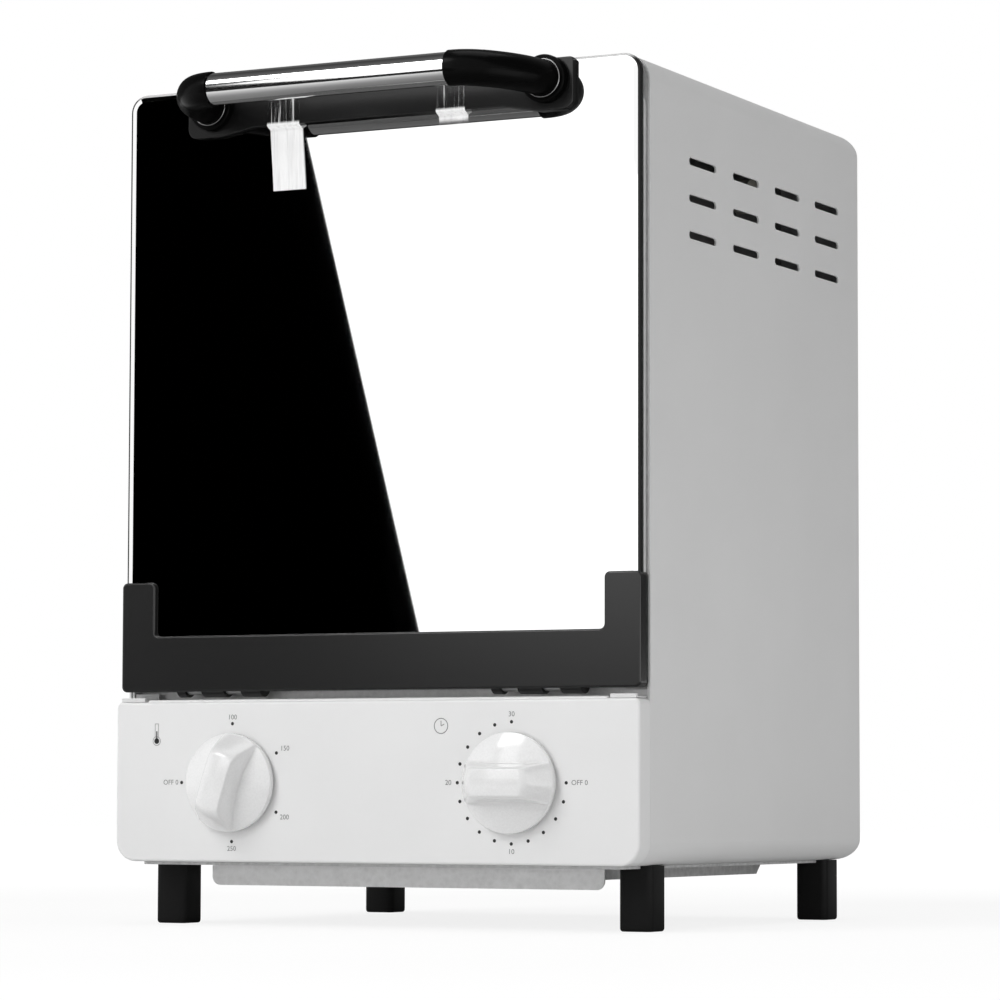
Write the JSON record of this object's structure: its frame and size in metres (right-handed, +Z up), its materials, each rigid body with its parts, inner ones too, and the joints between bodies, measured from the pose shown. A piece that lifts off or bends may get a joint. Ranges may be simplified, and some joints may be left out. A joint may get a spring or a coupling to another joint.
{
  "type": "dry heat sterilizer",
  "caption": "Small upright dry heat sterilizer: white sheet-metal casing, drop-down mirror glass door with a tubular handle, front knobs, inner racks, square feet and a crumb tray below.",
  "frame": {"origin": "centre of the bounding box, on the surface the feet stand on", "axes": "+X to the right seen from the front, +Y towards the back, +Z up"},
  "size_m": [0.23, 0.2679, 0.3341],
  "materials": {
    "white_paint": "satin",
    "galvanised": "satin",
    "steel": "satin",
    "bright_steel": "polished",
    "black_paint": "satin",
    "mirror_glass": "polished",
    "black_plastic": "matte",
    "white_plastic": "gloss",
    "rubber_black": "matte",
    "seal_silicone": "matte",
    "ceramic": "matte",
    "brass": "satin",
    "wire_red": "gloss",
    "copper_tube": "satin",
    "clear_film": "gloss"
  },
  "bodies": {
    "housing": {"casing": "white_paint", "back_panel": "white_paint", "base_plate": "galvanised", "front_frame": "galvanised", "control_panel": "white_paint", "control_bracket": "galvanised", "cavity_liner": "steel", "heat_shield": "galvanised", "tray_runner_left": "steel", "tray_runner_right": "steel", "upper_heater_front": "steel", "upper_heater_rear": "steel", "lower_heater_front": "steel", "lower_heater_rear": "steel", "heater_insulators": "ceramic", "thermostat_body": "ceramic", "sensor_tube": "copper_tube", "timer_body": "galvanised", "timer_bell": "bright_steel", "terminal_block": "ceramic", "thermal_cutout": "black_plastic", "wiring": "wire_red", "cord_grommet": "rubber_black", "hinge_bracket_left": "steel", "hinge_bracket_right": "steel", "hinge_pin_left": "bright_steel", "hinge_pin_right": "bright_steel", "door_stop_left": "bright_steel", "door_stop_right": "bright_steel", "crumb_rail_left": "galvanised", "crumb_rail_right": "galvanised", "foot_front_left": "rubber_black", "foot_front_right": "rubber_black", "foot_rear_left": "rubber_black", "foot_rear_right": "rubber_black", "foot_screws": "bright_steel", "casing_screws": "bright_steel", "control_screws": "bright_steel"},
    "door": {"door_bottom_frame": "black_paint", "door_glass": "mirror_glass", "door_steel_frame": "steel", "door_seal": "seal_silicone", "door_screws": "bright_steel", "handle_plate": "black_plastic", "handle_bar": "bright_steel", "handle_elbow_left": "black_plastic", "handle_elbow_right": "black_plastic", "handle_collar_left": "black_plastic", "handle_collar_right": "black_plastic", "handle_bolts": "bright_steel", "film_strips": "clear_film"},
    "temperature_dial": {"temperature_knob": "white_plastic", "thermostat_shaft": "brass"},
    "timer_dial": {"timer_knob": "white_plastic", "timer_shaft": "brass"},
    "wire_rack_body": {"wire_rack": "bright_steel"},
    "instrument_tray_body": {"instrument_tray": "steel"},
    "crumb_tray_body": {"crumb_tray": "galvanised"}
  },
  "joints": [
    {"name": "door_hinge", "type": "hinge", "parent": "housing", "child": "door", "pos_m": [0, -0.084, 0.0948], "axis": [1, 0, 0], "range_deg": [0, 90]},
    {"name": "temperature_turn", "type": "hinge", "parent": "housing", "child": "temperature_dial", "pos_m": [-0.0614, -0.091, 0.0562], "axis": [0, 1, 0], "range_deg": [-107, 163]},
    {"name": "timer_turn", "type": "hinge", "parent": "housing", "child": "timer_dial", "pos_m": [0.0614, -0.091, 0.0562], "axis": [0, 1, 0], "range_deg": [0, 270]},
    {"name": "wire_rack_slide", "type": "slide", "parent": "housing", "child": "wire_rack_body", "axis": [0, -1, 0], "range_m": [0, 0.08]},
    {"name": "instrument_tray_slide", "type": "slide", "parent": "housing", "child": "instrument_tray_body", "axis": [0, -1, 0], "range_m": [0, 0.11]},
    {"name": "crumb_tray_slide", "type": "slide", "parent": "housing", "child": "crumb_tray_body", "axis": [0, -1, 0], "range_m": [0, 0.12]}
  ],
  "couplings": [
    {"joint": "wire_rack_slide", "follows": "door_hinge", "m_per_rad": 0.0509},
    {"joint": "instrument_tray_slide", "follows": "door_hinge", "m_per_rad": 0.07}
  ]
}
